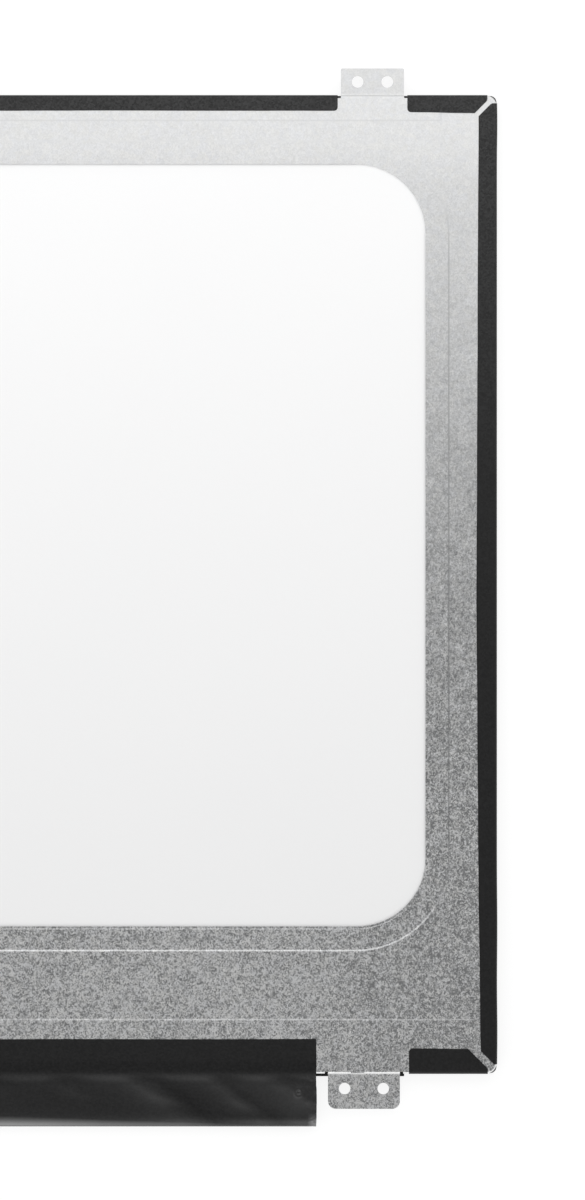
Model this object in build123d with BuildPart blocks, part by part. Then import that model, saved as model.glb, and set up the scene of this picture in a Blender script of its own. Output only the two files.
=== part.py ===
from build123d import *
import os
from math import sqrt

# Slim edge-lit liquid crystal panel for a laptop lid, lying on its screen with its back up.
# The origin is the middle of the viewing area on the screen face, +Y is the panel's top edge
# and +Z points out of its back. All sizes are in millimetres.

# Viewing area, and the borders from it to the outline over the edge tapes
VIEW_W = 344.2
VIEW_H = 193.5
SIDE_BORDER = 7.65
TOP_BORDER = 7.6
BOTTOM_BORDER = 11.2

# Thicknesses of the layers, from the screen face to the back
POLARISER_T = 0.2
GLASS_T = 0.4
RIM_TAPE_T = 0.08
PRISM_T = 0.15
DIFFUSER_T = 0.1
GUIDE_T = 0.8
REFLECTOR_T = 0.2

# How far each layer reaches past the viewing area
FRONT_POLARISER_MARGIN = 3.9
REAR_POLARISER_MARGIN = 2.8
RIM_TAPE_MARGIN = 0.7
SHEET_MARGIN = 2.5
GUIDE_MARGIN = 2.9

# Glass cell in the lip of the carrier frame
LIP_T = 0.7
CELL_GAP = 0.15
LEDGE_W = 3.4
LEDGE_GAP = 0.1
RIM_TAPE_EDGE = 0.5
GLASS_CHAMFER = 0.6

# Carrier frame
FRAME_GAP = 0.05
FRAME_CORNER_R = 1.4
GUIDE_GAP = 0.2
LIP_RISE = 0.07
EAR_X = 118.0
EAR_W = 9.0
EAR_H = 2.0
EAR_GAP = 0.2
EAR_CUT = 0.5
GUIDE_EAR_Y = 52.0
GUIDE_EAR_W = 10.0
GUIDE_EAR_H = 1.6
SNAP_PITCH = 62.0
SNAP_COUNT = 3
SNAP_W = 6.0
SNAP_H = 0.6
SNAP_LEAD = 0.35
SNAP_REACH = 0.2
SNAP_UP = 0.35
SNAP_GAP = 0.05

# Folded back plate
PLATE_T = 0.3
BEND_R = 0.2
PLATE_CORNER_R = 2.2
WALL_GAP = 0.05
CORNER_RELIEF = 3.0
WINDOW_SIDE = 15.5
WINDOW_TOP = 15.0
WINDOW_BOTTOM = 31.8
WINDOW_R = 15.0
RIM_W = 5.2
RIM_DROP = 0.2
STEP_RUN = 0.35
TOP_STRIP_W = 5.7
TOP_STRIP_RISE = 0.1
TOP_STRIP_END = 12.0
LAMP_STRIP_W = 12.0
LAMP_STRIP_RISE = 0.15
LAMP_STRIP_GAP = 0.15

# Screw tabs on the plate's top and bottom edges
TAB_CLEAR = 0.2
TAB_HOLE_D = 2.5
TAB_RELIEF = 0.7
TAB_NOTCH = 0.1
TOP_TAB_IN = 20.15
TOP_TAB_W = 13.7
TOP_TAB_REACH = 5.86
TOP_TAB_CORNER_R = 0.3
TOP_HOLE_REACH = 2.95
TOP_HOLE_PITCH = 6.44
BOTTOM_TAB_IN = 21.05
BOTTOM_TAB_W = 15.6
BOTTOM_TAB_REACH = 7.65
BOTTOM_TAB_CORNER_R = 1.7
BOTTOM_HOLE_REACH = 3.25
BOTTOM_HOLE_PITCH = 8.39
BEND_SLOT_W = 2.9
BEND_SLOT_SHIFT = -1.4

# Edge tapes: flap widths on the back, ends and mitres at the corners
TAPE_T = 0.08
TOP_FLAP = 3.4
TOP_CORNER_FLAP = 3.9
SIDE_FLAP = 4.2
BOTTOM_FLAP = 5.5
FLAP_GAP = 0.3
TOP_TAPE_END = 2.1
SIDE_TAPE_TOP_END = 2.3
SIDE_TAPE_BOTTOM_END = 2.1
BOTTOM_TAPE_END = 2.0
MITRE_START = 1.2
SIDE_MITRE_START = 0.65
FLAP_CORNER_R = 0.8
BOTTOM_TAPE_IN = 19.1

# Lamp strip behind the lower edge of the light guide
FLEX_T = 0.15
FLEX_UNDER = 1.2
FLEX_END = 2.0
FLEX_GAP = 0.1
LAMP_W = 3.8
LAMP_D = 1.0
LAMP_PITCH = 8.6
LAMP_GAP = 0.15
LAMP_ROOM = 0.4
LAMP_WALL = 0.15
PAD_EDGE = 0.6
PAD_W = 7.0
TAIL_IN = 42.9
TAIL_W = 8.0
TAIL_KNEE = 0.35
TAIL_FOOT = 0.3
TAIL_PAD = 2.6
TAIL_ROOM = 0.5

# Driver films and chips between the glass ledge and the board
DRIVER_COUNT = 4
DRIVER_W = 20.0
DRIVER_NECK = 17.0
DRIVER_FILM_T = 0.05
GLASS_BOND = 2.2
BOARD_BOND = 1.8
CHIP_W = 15.0
CHIP_D = 1.2
CHIP_T = 0.3

# Timing board below the lower edge, and its parts
BOARD_END_IN = 39.85
BOARD_GAP = 2.5
BOARD_H = 8.2
BOARD_T = 0.5
BOARD_CHAMFER = 0.8
TIMING_CHIP_X = 6.0
TIMING_CHIP_W = 6.8
TIMING_CHIP_T = 0.85
MEMORY_CHIP_X = 22.0
MEMORY_CHIP_W = 3.0
MEMORY_CHIP_D = 2.0
MEMORY_CHIP_T = 0.6
POWER_CHIP_X = -24.0
POWER_CHIP_W = 5.0
POWER_CHIP_T = 0.8
BACKLIGHT_CHIP_IN = 22.9
BACKLIGHT_CHIP_W = 4.0
BACKLIGHT_CHIP_T = 0.75
DIODE_IN = 7.9
DIODE_W = 2.6
DIODE_D = 1.6
DIODE_T = 1.0
FUSE_X = 32.0
FUSE_W = 1.6
FUSE_D = 0.8
FUSE_T = 0.6
CHIP_CHAMFER = 0.1
POWER_COIL_X = -31.5
POWER_COIL_W = 4.0
BACKLIGHT_COIL_IN = 14.9
BACKLIGHT_COIL_W = 5.0
COIL_T = 1.2
COIL_FOOT_T = 0.25
COIL_STEP = 0.5
CAP_W = 1.6
CAP_D = 0.8
CAP_T = 0.8
CAP_COLUMN = 7.0
CAP_PITCH_X = 2.4
CAP_PITCH_Y = 2.2
CAP_COLUMNS = 2
CAP_ROWS = 3
END_CAP_IN = 3.2
END_CAP_DOWN = 1.5
END_CAP_T = 1.2
RESISTOR_W = 1.0
RESISTOR_D = 0.5
RESISTOR_T = 0.35
RESISTOR_PITCH = 1.6
RESISTOR_COLUMNS = 6
RESISTOR_ROWS = 2

# Film over the board and tape over the glass ledge
COVER_IN = 39.2
COVER_LAP = 7.6
COVER_ROOM = 1.25
COVER_SLOPE = 1.2
COVER_CLEAR = 0.15
COVER_FOLD_R = 0.3
ROLL_FLAT = 0.1
LEDGE_TAPE_OVER = 0.65
LEDGE_TAPE_GAP = 1.0
COVER_FRONT_GAP = 0.2

# Video socket on the board's lower edge
SOCKET_X = 55.0
SOCKET_W = 20.4
SOCKET_D = 4.2
SOCKET_H = 1.1
SOCKET_EDGE = 0.1
SOCKET_ROOM = 0.8
SHELL_T = 0.15
MOUTH_END = 0.9
MOUTH_H = 0.56
MOUTH_D = 2.6
CONTACT_COUNT = 30
CONTACT_PITCH = 0.5
CONTACT_W = 0.2
CONTACT_T = 0.12
CONTACT_TAIL = 0.7
LATCH_IN = 1.4
LATCH_END = 4.0
LATCH_W = 1.4
LATCH_D = 0.6

# Outline over the tapes, and of the plate inside them
body_x = VIEW_W / 2 + SIDE_BORDER
body_top = VIEW_H / 2 + TOP_BORDER
body_bottom = -VIEW_H / 2 - BOTTOM_BORDER
plate_x = body_x - TAPE_T
plate_top = body_top - TAPE_T
plate_bottom = body_bottom + TAPE_T
plate_mid_y = (plate_top + plate_bottom) / 2

# Levels above the screen face
z_filter = POLARISER_T
z_array = z_filter + GLASS_T
z_rear = z_array + GLASS_T
z_rim = z_rear + POLARISER_T
z_stack = z_rim + RIM_TAPE_T
z_lower_prism = z_stack + PRISM_T
z_diffuser = z_lower_prism + PRISM_T
z_guide = z_diffuser + DIFFUSER_T
z_reflector = z_guide + GUIDE_T
z_plate_in = z_reflector + REFLECTOR_T + RIM_DROP
z_plate_out = z_plate_in + PLATE_T
z_top_strip = z_plate_out + TOP_STRIP_RISE
z_lamp_strip = z_plate_out + LAMP_STRIP_RISE
z_lip_back = z_stack + LIP_RISE
z_wall_end = z_lip_back + WALL_GAP
z_snap = z_wall_end + SNAP_UP
z_tab = z_lip_back + TAB_CLEAR
z_tab_back = z_tab + PLATE_T
z_flex_back = z_reflector + FLEX_T
z_driver = z_array - DRIVER_FILM_T
z_board_back = z_array + BOARD_T
z_cover_in = z_board_back + COVER_ROOM

# Cell, light guide and carrier frame in plan
glass_x = plate_x - LIP_T - CELL_GAP
glass_top = plate_top - LIP_T - CELL_GAP
array_bottom = plate_bottom + LIP_T + CELL_GAP
filter_bottom = array_bottom + LEDGE_W
guide_x = VIEW_W / 2 + GUIDE_MARGIN
guide_y = VIEW_H / 2 + GUIDE_MARGIN
sheet_x = VIEW_W / 2 + SHEET_MARGIN
sheet_y = VIEW_H / 2 + SHEET_MARGIN
frame_x = plate_x - PLATE_T - FRAME_GAP
frame_top = plate_top - PLATE_T - FRAME_GAP
frame_bottom = plate_bottom + PLATE_T + FRAME_GAP
lamp_back = -guide_y - LAMP_GAP - LAMP_D
rail_inner = lamp_back - LAMP_ROOM
flex_x = guide_x - FLEX_END
flex_top = -guide_y + FLEX_UNDER
flex_bottom = plate_bottom + PLATE_T + FLEX_GAP

# Plate strips and tabs in plan
bend_out = BEND_R + PLATE_T
strip_notch = bend_out + TAB_NOTCH
top_tab_x = body_x - TOP_TAB_IN - TOP_TAB_W / 2
bottom_tab_x = body_x - BOTTOM_TAB_IN - BOTTOM_TAB_W / 2
lamp_strip_x = body_x - SIDE_FLAP - LAMP_STRIP_GAP

# Board and cover in plan
board_x = body_x - BOARD_END_IN
board_top = body_bottom - BOARD_GAP
board_bottom = board_top - BOARD_H
board_mid = (board_top + board_bottom) / 2
driver_pitch = 2 * board_x / DRIVER_COUNT
outer_driver_x = driver_pitch * (DRIVER_COUNT - 1) / 2
tail_x = TAIL_IN - outer_driver_x
backlight_chip_x = BACKLIGHT_CHIP_IN - outer_driver_x
backlight_coil_x = BACKLIGHT_COIL_IN - outer_driver_x
diode_x = DIODE_IN - outer_driver_x
cover_x = body_x - COVER_IN
roll_r = (z_cover_in - z_driver - ROLL_FLAT) / 2
roll_chord = sqrt(roll_r**2 - (roll_r - DRIVER_FILM_T) ** 2)
roll_y = board_bottom - (roll_r - roll_chord) - COVER_CLEAR
cover_front_y = body_bottom - LEDGE_TAPE_OVER - COVER_FRONT_GAP
bottom_tape_x = body_x - BOTTOM_TAPE_IN

os.makedirs("parts", exist_ok=True)


def sheet_outline(half_x, low, high):
    """Plain rectangle of a layer, in the sketch that is open."""
    with Locations((0, (low + high) / 2)):
        Rectangle(2 * half_x, high - low)


def top_ears(high):
    """Two locating ears on a layer's top edge, in the sketch that is open."""
    with Locations((-EAR_X, high), (EAR_X, high)):
        Rectangle(EAR_W, 2 * EAR_H)


# Cell: two glasses between two polarisers
with BuildPart() as front_polariser:
    with BuildSketch():
        margin = FRONT_POLARISER_MARGIN
        sheet_outline(VIEW_W / 2 + margin, -VIEW_H / 2 - margin, VIEW_H / 2 + margin)
    extrude(amount=POLARISER_T)
front_polariser.part.label = "front_polariser"
export_step(front_polariser.part, "parts/front_polariser.step")

with BuildPart() as colour_filter_glass:
    with BuildSketch(Plane.XY.offset(z_filter)):
        sheet_outline(glass_x, filter_bottom, glass_top)
    extrude(amount=GLASS_T)
    top_corners = colour_filter_glass.edges().filter_by(Axis.Z).group_by(Axis.Y)[-1]
    chamfer(top_corners, length=GLASS_CHAMFER)
colour_filter_glass.part.label = "colour_filter_glass"
export_step(colour_filter_glass.part, "parts/colour_filter_glass.step")

with BuildPart() as array_glass:
    with BuildSketch(Plane.XY.offset(z_array)):
        sheet_outline(glass_x, array_bottom, glass_top)
    extrude(amount=GLASS_T)
    chamfer(array_glass.edges().filter_by(Axis.Z), length=GLASS_CHAMFER)
array_glass.part.label = "array_glass"
export_step(array_glass.part, "parts/array_glass.step")

with BuildPart() as rear_polariser:
    with BuildSketch(Plane.XY.offset(z_rear)):
        margin = REAR_POLARISER_MARGIN
        sheet_outline(VIEW_W / 2 + margin, -VIEW_H / 2 - margin, VIEW_H / 2 + margin)
    extrude(amount=POLARISER_T)
rear_polariser.part.label = "rear_polariser"
export_step(rear_polariser.part, "parts/rear_polariser.step")

# Black rim tape that carries the cell on the frame and masks the edge of the light
with BuildPart() as rim_tape:
    with BuildSketch(Plane.XY.offset(z_rim)):
        edge = RIM_TAPE_EDGE
        sheet_outline(glass_x - edge, array_bottom + edge, glass_top - edge)
        Rectangle(VIEW_W + 2 * RIM_TAPE_MARGIN, VIEW_H + 2 * RIM_TAPE_MARGIN, mode=Mode.SUBTRACT)
    extrude(amount=RIM_TAPE_T)
rim_tape.part.label = "rim_tape"
export_step(rim_tape.part, "parts/rim_tape.step")

# Light sheets, each hung by two ears in the frame's top rail
light_sheets = (
    ("upper_prism_sheet", z_stack, PRISM_T),
    ("lower_prism_sheet", z_lower_prism, PRISM_T),
    ("diffuser_sheet", z_diffuser, DIFFUSER_T),
)
for sheet_name, sheet_z, sheet_t in light_sheets:
    with BuildPart() as light_sheet:
        with BuildSketch(Plane.XY.offset(sheet_z)) as sheet_plan:
            sheet_outline(sheet_x, -sheet_y, sheet_y)
            top_ears(sheet_y)
            chamfer(sheet_plan.vertices().group_by(Axis.Y)[-1], length=EAR_CUT)
        extrude(amount=sheet_t)
    light_sheet.part.label = sheet_name
    export_step(light_sheet.part, f"parts/{sheet_name}.step")

# Moulded light guide with a locating ear on each side
with BuildPart() as light_guide:
    with BuildSketch(Plane.XY.offset(z_guide)) as guide_plan:
        sheet_outline(guide_x, -guide_y, guide_y)
        with Locations((0, GUIDE_EAR_Y)):
            Rectangle(2 * (guide_x + GUIDE_EAR_H), GUIDE_EAR_W)
        ear_corners = guide_plan.vertices().group_by(Axis.X)
        chamfer(ear_corners[0] + ear_corners[-1], length=EAR_CUT)
    extrude(amount=GUIDE_T)
light_guide.part.label = "light_guide"
export_step(light_guide.part, "parts/light_guide.step")

# White reflector, cut short at the lamp strip, seen through the plate's window
with BuildPart() as reflector_sheet:
    with BuildSketch(Plane.XY.offset(z_reflector)) as reflector_plan:
        sheet_outline(sheet_x, flex_top + GUIDE_GAP, sheet_y)
        top_ears(sheet_y)
        chamfer(reflector_plan.vertices().group_by(Axis.Y)[-1], length=EAR_CUT)
    extrude(amount=REFLECTOR_T)
reflector_sheet.part.label = "reflector_sheet"
export_step(reflector_sheet.part, "parts/reflector_sheet.step")

# Carrier frame: a black moulded ring round the light guide with a lip round the cell
with BuildPart() as mould_frame:
    with BuildSketch(Plane.XY.offset(z_stack)):
        with Locations((0, (frame_top + frame_bottom) / 2)):
            ring_r = FRAME_CORNER_R - (plate_x - frame_x)
            RectangleRounded(2 * frame_x, frame_top - frame_bottom, ring_r)
    extrude(amount=z_plate_in - z_stack)
    ring_back = mould_frame.faces().sort_by(Axis.Z)[-1]
    chamfer(ring_back.edges(), length=BEND_R + FRAME_GAP)
    # Well for the light guide and lamps, with notches for the ears
    with BuildSketch(Plane.XY.offset(z_stack)):
        with Locations((0, (guide_y + GUIDE_GAP + rail_inner) / 2)):
            Rectangle(2 * (guide_x + GUIDE_GAP), guide_y + GUIDE_GAP - rail_inner)
        with Locations((-EAR_X, sheet_y), (EAR_X, sheet_y)):
            Rectangle(EAR_W + 2 * EAR_GAP, 2 * (EAR_H + EAR_GAP))
        with Locations((0, GUIDE_EAR_Y)):
            Rectangle(2 * (guide_x + GUIDE_EAR_H + EAR_GAP), GUIDE_EAR_W + 2 * EAR_GAP)
    extrude(amount=z_plate_in - z_stack, mode=Mode.SUBTRACT)
    # Lower rail, set down so that the lamp strip lies on it
    with BuildSketch(Plane.XY.offset(z_reflector)):
        with Locations((0, (rail_inner + plate_bottom) / 2)):
            Rectangle(2 * (guide_x + GUIDE_GAP), rail_inner - plate_bottom)
    extrude(amount=z_plate_in - z_reflector, mode=Mode.SUBTRACT)
    # Lip round the cell, flush with the outside of the plate
    with BuildSketch(Plane.XY.offset(z_filter)):
        with Locations((0, plate_mid_y)):
            RectangleRounded(2 * plate_x, plate_top - plate_bottom, FRAME_CORNER_R)
        with Locations((0, (glass_top + array_bottom) / 2)):
            cell_h = glass_top - array_bottom + 2 * CELL_GAP
            Rectangle(2 * (glass_x + CELL_GAP), cell_h, mode=Mode.SUBTRACT)
    extrude(amount=z_lip_back - z_filter)
    # Lower lip, set back level with the ledge so that the driver films pass over it
    with BuildSketch(Plane.XY.offset(z_filter)):
        with Locations((0, plate_bottom)):
            Rectangle(2 * (glass_x + CELL_GAP), 2 * (LIP_T + CELL_GAP))
    extrude(amount=z_array - z_filter, mode=Mode.SUBTRACT)
    # Snap hooks on the side rails, each with a slope that the plate's wall slides down
    hook_x = frame_x + FRAME_GAP + SNAP_REACH
    for snap in range(SNAP_COUNT):
        snap_y = (snap - (SNAP_COUNT - 1) / 2) * SNAP_PITCH
        with BuildSketch(Plane.XZ.offset(-snap_y - SNAP_W / 2)):
            with BuildLine():
                Polyline(
                    (frame_x, z_snap),
                    (hook_x, z_snap),
                    (hook_x, z_snap + SNAP_H - SNAP_LEAD),
                    (frame_x, z_snap + SNAP_H),
                    close=True,
                )
            make_face()
            mirror(about=Plane.YZ)
        extrude(amount=SNAP_W)
mould_frame.part.label = "mould_frame"
export_step(mould_frame.part, "parts/mould_frame.step")


def pressed_strip(half_x, edge, inner, z_low, z_flat, rise, bend):
    """A strip of the pan pressed up by rise, from the fold at edge in to a slope at inner."""
    inward = 1 if inner > edge else -1
    with BuildPart() as strip:
        with BuildSketch(Plane.XY.offset(z_low)):
            sheet_outline(half_x, min(edge, inner), max(edge, inner))
        extrude(amount=z_flat - z_low)
        foot = strip.faces().sort_by(Axis.Z)[-1]
        crest_inner = inner - inward * STEP_RUN
        with BuildSketch(Plane.XY.offset(z_flat + rise)) as crest:
            sheet_outline(half_x - STEP_RUN, min(edge, crest_inner), max(edge, crest_inner))
        loft([foot, crest.sketch.face()], ruled=True)
        folds = strip.edges().filter_by(Axis.X).group_by(Axis.Z)[-1]
        fillet(folds.sort_by(Axis.Y)[-1 if edge > inner else 0], radius=bend)
    return strip.part


def pressed_pan(inset, z_low):
    """Outer form of the plate's pan, or with the sheet's thickness as inset, the hollow in it."""
    bend = bend_out - inset
    pan_x = plate_x - inset
    pan_top = plate_top - inset
    pan_bottom = plate_bottom + inset
    z_flat = z_plate_out - inset
    top_strip_x = body_x - TOP_STRIP_END
    top_strip_y = body_top - TOP_STRIP_W
    lamp_strip_y = body_bottom + LAMP_STRIP_W
    top_strip = pressed_strip(
        top_strip_x, pan_top, top_strip_y, z_low, z_flat, TOP_STRIP_RISE, bend
    )
    lamp_strip = pressed_strip(
        lamp_strip_x, pan_bottom, lamp_strip_y, z_low, z_flat, LAMP_STRIP_RISE, bend
    )
    with BuildPart() as pan:
        with BuildSketch(Plane.XY.offset(z_low)):
            with Locations((0, plate_mid_y)):
                RectangleRounded(2 * pan_x, pan_top - pan_bottom, PLATE_CORNER_R - inset)
        extrude(amount=z_flat - z_low)
        fillet(pan.faces().sort_by(Axis.Z)[-1].edges(), radius=bend)
        add(top_strip)
        add(lamp_strip)
        # Rim round the window, pressed in until it bears on the reflector
        rim_levels = ((z_flat, RIM_W), (z_flat - RIM_DROP, RIM_W - STEP_RUN))
        for rim_z, rim_w in rim_levels:
            with BuildSketch(Plane.XY.offset(rim_z)):
                window_outline(rim_w)
        loft(ruled=True, mode=Mode.SUBTRACT)
    return pan.part


def window_outline(margin):
    """The window's round-cornered outline, grown by a margin, in the sketch that is open."""
    window_top = body_top - WINDOW_TOP + margin
    window_bottom = body_bottom + WINDOW_BOTTOM - margin
    window_w = 2 * (body_x - WINDOW_SIDE + margin)
    with Locations((0, (window_top + window_bottom) / 2)):
        RectangleRounded(window_w, window_top - window_bottom, WINDOW_R + margin)


def screw_tab(side, edge, z_flat, x_mid, width, reach, corner_r, hole_reach, hole_pitch):
    """One tab: off the flat, down the wall's fold and out level again, with two screw holes."""
    body_edge = edge + side * TAPE_T
    tab_end = body_edge + side * reach
    root = edge - side * strip_notch
    with BuildPart() as tab:
        with BuildSketch(Plane.YZ.offset(x_mid - width / 2)):
            with BuildLine():
                back = FilletPolyline(
                    (root, z_flat),
                    (edge, z_flat),
                    (edge, z_tab_back),
                    (tab_end, z_tab_back),
                    radius=(bend_out, BEND_R),
                )
                front = FilletPolyline(
                    (root, z_flat - PLATE_T),
                    (edge - side * PLATE_T, z_flat - PLATE_T),
                    (edge - side * PLATE_T, z_tab),
                    (tab_end, z_tab),
                    radius=(BEND_R, bend_out),
                )
                Line(back @ 0, front @ 0)
                Line(back @ 1, front @ 1)
            make_face()
        extrude(amount=width)
        tips = tab.edges().filter_by(Axis.Z).group_by(Axis.Y)[-1 if side > 0 else 0]
        fillet(tips, radius=corner_r)
        with Locations((x_mid, body_edge + side * hole_reach, z_tab_back)):
            with GridLocations(hole_pitch, 1, 2, 1):
                Hole(TAB_HOLE_D / 2, depth=PLATE_T)
    return tab.part


# Back plate: one galvanised sheet, pressed, pierced and folded
plate_hollow = pressed_pan(PLATE_T, z_wall_end - PLATE_T)
with BuildPart() as back_plate:
    add(pressed_pan(0, z_wall_end))
    add(plate_hollow, mode=Mode.SUBTRACT)
    with BuildSketch(Plane.XY.offset(z_plate_out)):
        window_outline(0)
    extrude(amount=-RIM_DROP - PLATE_T, mode=Mode.SUBTRACT)
    # Corners left open between the folded walls
    with BuildSketch(Plane.XY.offset(z_wall_end)):
        with GridLocations(2 * plate_x, 2 * (plate_top - plate_mid_y), 2, 2):
            with Locations((0, plate_mid_y)):
                Rectangle(2 * CORNER_RELIEF, 2 * CORNER_RELIEF)
    extrude(amount=z_plate_in - z_wall_end, mode=Mode.SUBTRACT)
    # Slots in the side walls for the frame's snap hooks
    with BuildSketch(Plane.XY.offset(z_snap - SNAP_GAP)):
        with GridLocations(2 * plate_x, SNAP_PITCH, 2, SNAP_COUNT):
            Rectangle(2 * (PLATE_T + FRAME_GAP), SNAP_W + 2 * SNAP_GAP)
    extrude(amount=SNAP_H + 2 * SNAP_GAP, mode=Mode.SUBTRACT)
    # Wall and fold cleared at each tab, with a narrow relief on both sides of it
    relief_levels = z_lamp_strip - z_wall_end
    with BuildSketch(Plane.XY.offset(z_wall_end)):
        for mirror_x in (-1, 1):
            with Locations((mirror_x * top_tab_x, plate_top)):
                Rectangle(TOP_TAB_W + 2 * TAB_RELIEF, 2 * strip_notch)
            with Locations((mirror_x * bottom_tab_x, plate_bottom)):
                Rectangle(BOTTOM_TAB_W + 2 * TAB_RELIEF, 2 * strip_notch)
    extrude(amount=relief_levels, mode=Mode.SUBTRACT)
    for mirror_x in (-1, 1):
        top_x = mirror_x * top_tab_x
        add(
            screw_tab(
                1, plate_top, z_top_strip, top_x, TOP_TAB_W, TOP_TAB_REACH,
                TOP_TAB_CORNER_R, TOP_HOLE_REACH, TOP_HOLE_PITCH,
            )
        )
        bottom_x = mirror_x * bottom_tab_x
        add(
            screw_tab(
                -1, plate_bottom, z_lamp_strip, bottom_x, BOTTOM_TAB_W, BOTTOM_TAB_REACH,
                BOTTOM_TAB_CORNER_R, BOTTOM_HOLE_REACH, BOTTOM_HOLE_PITCH,
            )
        )
    # Slot in the fold of each lower tab, and the gate in the wall for the lamp strip's tail
    with BuildSketch(Plane.XY.offset(z_flex_back + TAIL_ROOM)):
        for mirror_x in (-1, 1):
            slot_x = mirror_x * (bottom_tab_x + BEND_SLOT_SHIFT)
            with Locations((slot_x, plate_bottom)):
                Rectangle(BEND_SLOT_W, 2 * bend_out)
    extrude(until=Until.LAST, mode=Mode.SUBTRACT)
    with BuildSketch(Plane.XY.offset(z_wall_end)):
        with Locations((tail_x, plate_bottom)):
            Rectangle(TAIL_W + 2 * TAIL_ROOM, 2 * (PLATE_T + FRAME_GAP))
    extrude(amount=z_flex_back + FLEX_T - z_wall_end, mode=Mode.SUBTRACT)
back_plate.part.label = "back_plate"
export_step(back_plate.part, "parts/back_plate.step")


# Lamp strip: white flexible circuit on the frame's lower rail, with a tail down to the board
with BuildPart() as lamp_flex:
    with BuildSketch(Plane.XY.offset(z_reflector)):
        sheet_outline(flex_x, flex_bottom, flex_top)
    extrude(amount=FLEX_T)
    knee_y = body_bottom - TAIL_KNEE
    foot_y = board_top - TAIL_FOOT
    tail_y = foot_y - TAIL_PAD
    with BuildSketch(Plane.YZ.offset(tail_x - TAIL_W / 2)):
        with BuildLine():
            tail_front = Polyline(
                (flex_bottom + FLEX_T, z_reflector),
                (knee_y, z_reflector),
                (foot_y, z_board_back),
                (tail_y, z_board_back),
            )
            tail_back = Polyline(
                (flex_bottom + FLEX_T, z_flex_back),
                (knee_y, z_flex_back),
                (foot_y, z_board_back + FLEX_T),
                (tail_y, z_board_back + FLEX_T),
            )
            Line(tail_front @ 0, tail_back @ 0)
            Line(tail_front @ 1, tail_back @ 1)
        make_face()
    extrude(amount=TAIL_W)
lamp_flex.part.label = "lamp_flex"
export_step(lamp_flex.part, "parts/lamp_flex.step")

# White lamps on the strip, each with a window that faces the edge of the light guide
with BuildPart() as lamps:
    lamp_count = int(2 * (flex_x - LAMP_W) / LAMP_PITCH) + 1
    with BuildSketch(Plane.XY.offset(z_guide)):
        with Locations((0, lamp_back + LAMP_D / 2)):
            with GridLocations(LAMP_PITCH, 1, lamp_count, 1):
                Rectangle(LAMP_W, LAMP_D)
    extrude(amount=GUIDE_T)
    with BuildSketch(Plane.XY.offset(z_guide + LAMP_WALL)):
        with Locations((0, lamp_back + LAMP_D)):
            with GridLocations(LAMP_PITCH, 1, lamp_count, 1):
                Rectangle(LAMP_W - 2 * LAMP_WALL, 2 * LAMP_WALL)
    extrude(amount=GUIDE_T - 2 * LAMP_WALL, mode=Mode.SUBTRACT)
lamps.part.label = "lamps"
export_step(lamps.part, "parts/lamps.step")

# Heat pad that fills the pressed-up strip of the plate behind the lamps
with BuildPart() as heat_pad:
    with BuildSketch(Plane.XY.offset(z_flex_back)):
        pad_low = flex_bottom + PAD_EDGE
        sheet_outline(flex_x - PAD_EDGE, pad_low, pad_low + PAD_W)
    extrude(amount=z_lamp_strip - PLATE_T - z_flex_back)
heat_pad.part.label = "heat_pad"
export_step(heat_pad.part, "parts/heat_pad.step")

# Driver films bonded across the gap from the glass ledge to the board, each with its chip
bond_top = array_bottom + GLASS_BOND
bond_low = board_top - BOARD_BOND
for driver in range(DRIVER_COUNT):
    driver_x = (driver - (DRIVER_COUNT - 1) / 2) * driver_pitch
    with BuildPart() as driver_film:
        with BuildSketch(Plane.XY.offset(z_driver)):
            with BuildLine():
                Polyline(
                    (driver_x - DRIVER_W / 2, bond_top),
                    (driver_x + DRIVER_W / 2, bond_top),
                    (driver_x + DRIVER_W / 2, body_bottom),
                    (driver_x + DRIVER_NECK / 2, board_top),
                    (driver_x + DRIVER_NECK / 2, bond_low),
                    (driver_x - DRIVER_NECK / 2, bond_low),
                    (driver_x - DRIVER_NECK / 2, board_top),
                    (driver_x - DRIVER_W / 2, body_bottom),
                    close=True,
                )
            make_face()
        extrude(amount=DRIVER_FILM_T)
    driver_film.part.label = f"driver_film_{driver + 1}"
    export_step(driver_film.part, f"parts/driver_film_{driver + 1}.step")
    with BuildPart() as driver_chip:
        with BuildSketch(Plane.XY.offset(z_array)):
            with Locations((driver_x, (body_bottom + board_top) / 2)):
                Rectangle(CHIP_W, CHIP_D)
        extrude(amount=CHIP_T)
    driver_chip.part.label = f"driver_chip_{driver + 1}"
    export_step(driver_chip.part, f"parts/driver_chip_{driver + 1}.step")

# Timing board
with BuildPart() as timing_board:
    with BuildSketch(Plane.XY.offset(z_array)):
        sheet_outline(board_x, board_bottom, board_top)
    extrude(amount=BOARD_T)
    chamfer(timing_board.edges().filter_by(Axis.Z), length=BOARD_CHAMFER)
timing_board.part.label = "timing_board"
export_step(timing_board.part, "parts/timing_board.step")

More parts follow.
